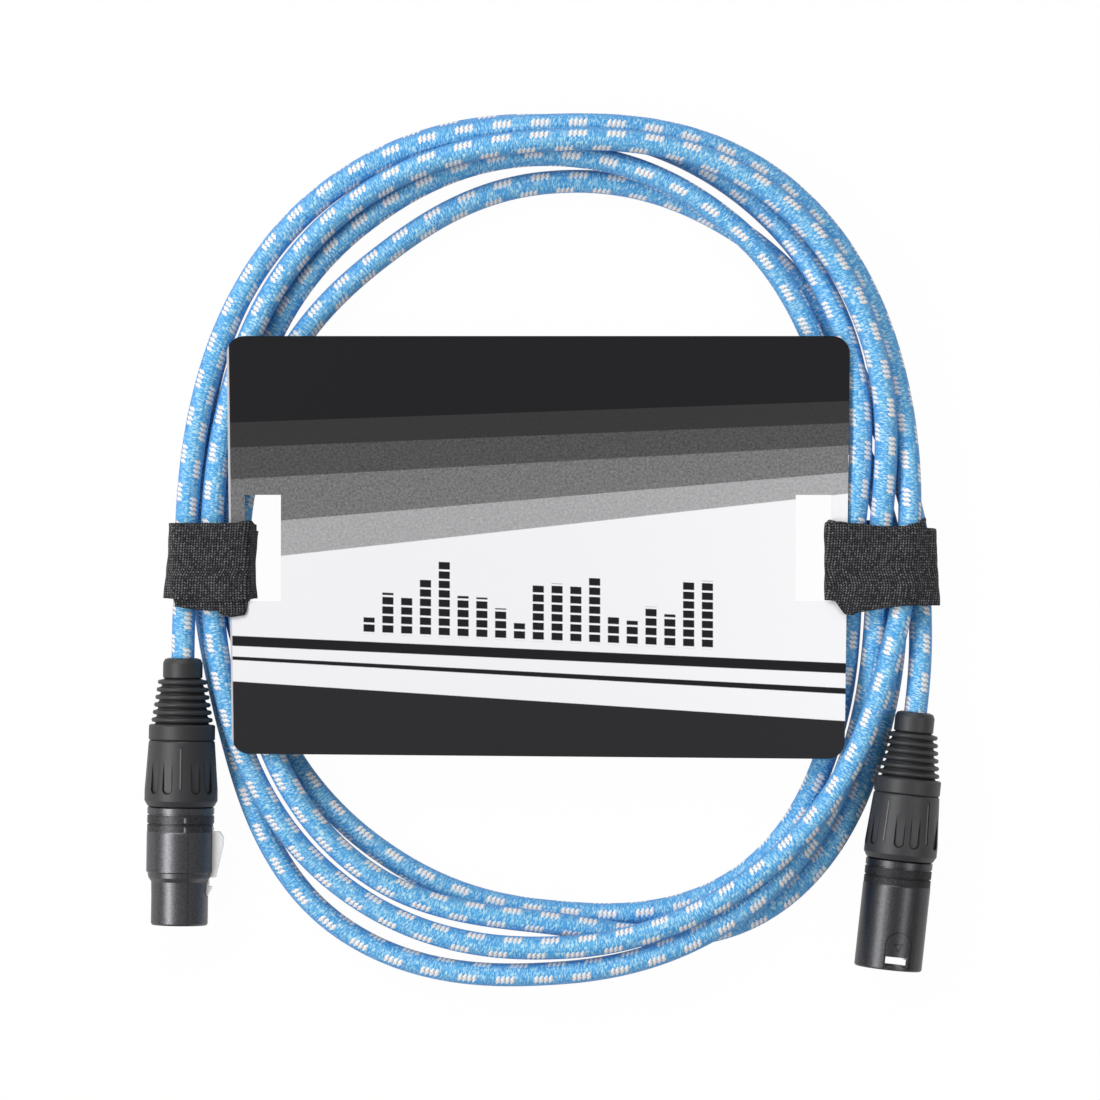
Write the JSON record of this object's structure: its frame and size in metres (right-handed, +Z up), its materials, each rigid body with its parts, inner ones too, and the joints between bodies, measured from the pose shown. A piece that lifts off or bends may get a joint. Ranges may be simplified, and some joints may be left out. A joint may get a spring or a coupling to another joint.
{
  "type": "coiled microphone cable",
  "caption": "Braided microphone cable wound in an oval coil, strapped to a slotted retail card, with a socket plug and a pin plug at its ends.",
  "frame": {"origin": "bottom centre of the bounding box, on the surface that the coil lies on", "axes": "+Z up out of the card's printed face, +Y to the card's top edge and away from the plugs' mouths, +X to the right as the card is read, towards the male plug"},
  "size_m": [0.2213, 0.2423, 0.0203],
  "materials": {
    "braid": "woven textile braid, sky blue with rows of white blocks",
    "card": "thick printed board, satin",
    "tape": "ribbed hook and loop tape, matt",
    "shell": "satin black plating",
    "insert": "matt moulded",
    "lever": "bright nickel",
    "steel": "bright",
    "chuck": "natural nylon",
    "nut": "satin moulded",
    "boot": "soft satin",
    "socket": "gold flash",
    "pin": "silver plated",
    "core_red": "smooth insulation",
    "core_white": "smooth insulation",
    "drain": "bare twisted copper"
  },
  "bodies": {
    "hank": {"cable": "braid", "card": "card", "strap_left": "tape", "strap_right": "tape", "female_shell": "shell", "female_insert": "insert", "female_contact_1": "socket", "female_contact_2": "socket", "female_contact_3": "socket", "latch_pin": "steel", "latch_spring": "steel", "female_chuck": "chuck", "female_core_1": "core_red", "female_core_2": "core_white", "female_core_3": "drain", "male_shell": "shell", "male_insert": "insert", "male_pin_1": "pin", "male_pin_2": "pin", "male_pin_3": "pin", "male_chuck": "chuck", "male_core_1": "core_red", "male_core_2": "core_white", "male_core_3": "drain"},
    "latch": {"latch_lever": "lever"},
    "female boot": {"female_boot": "boot"},
    "female nut": {"female_nut": "nut"},
    "male boot": {"male_boot": "boot"},
    "male nut": {"male_nut": "nut"}
  },
  "joints": [
    {"name": "latch_press", "type": "hinge", "parent": "hank", "child": "latch", "pos_m": [-0.09276, -0.07761, 0.01015], "axis": [0, 0, -1], "range_deg": [0, 3], "stiffness_Nm_per_rad": 1.1, "springref_deg": -1.72},
    {"name": "female_boot_slide", "type": "slide", "parent": "hank", "child": "female boot", "axis": [0.014, 0.9999, 0], "range_m": [0, 0.002]},
    {"name": "female_nut_turn", "type": "hinge", "parent": "female boot", "child": "female nut", "pos_m": [-0.10045, -0.062, 0.01015], "axis": [0.014, 0.9999, 0], "range_deg": [0, 720]},
    {"name": "male_boot_slide", "type": "slide", "parent": "hank", "child": "male boot", "axis": [0.108, 0.9942, 0], "range_m": [0, 0.002]},
    {"name": "male_nut_turn", "type": "hinge", "parent": "male boot", "child": "male nut", "pos_m": [0.10004, -0.07681, 0.01015], "axis": [0.108, 0.9942, 0], "range_deg": [0, 720]}
  ],
  "couplings": [
    {"joint": "female_boot_slide", "follows": "female_nut_turn", "m_per_rad": 0.00015915},
    {"joint": "male_boot_slide", "follows": "male_nut_turn", "m_per_rad": 0.00015915}
  ]
}
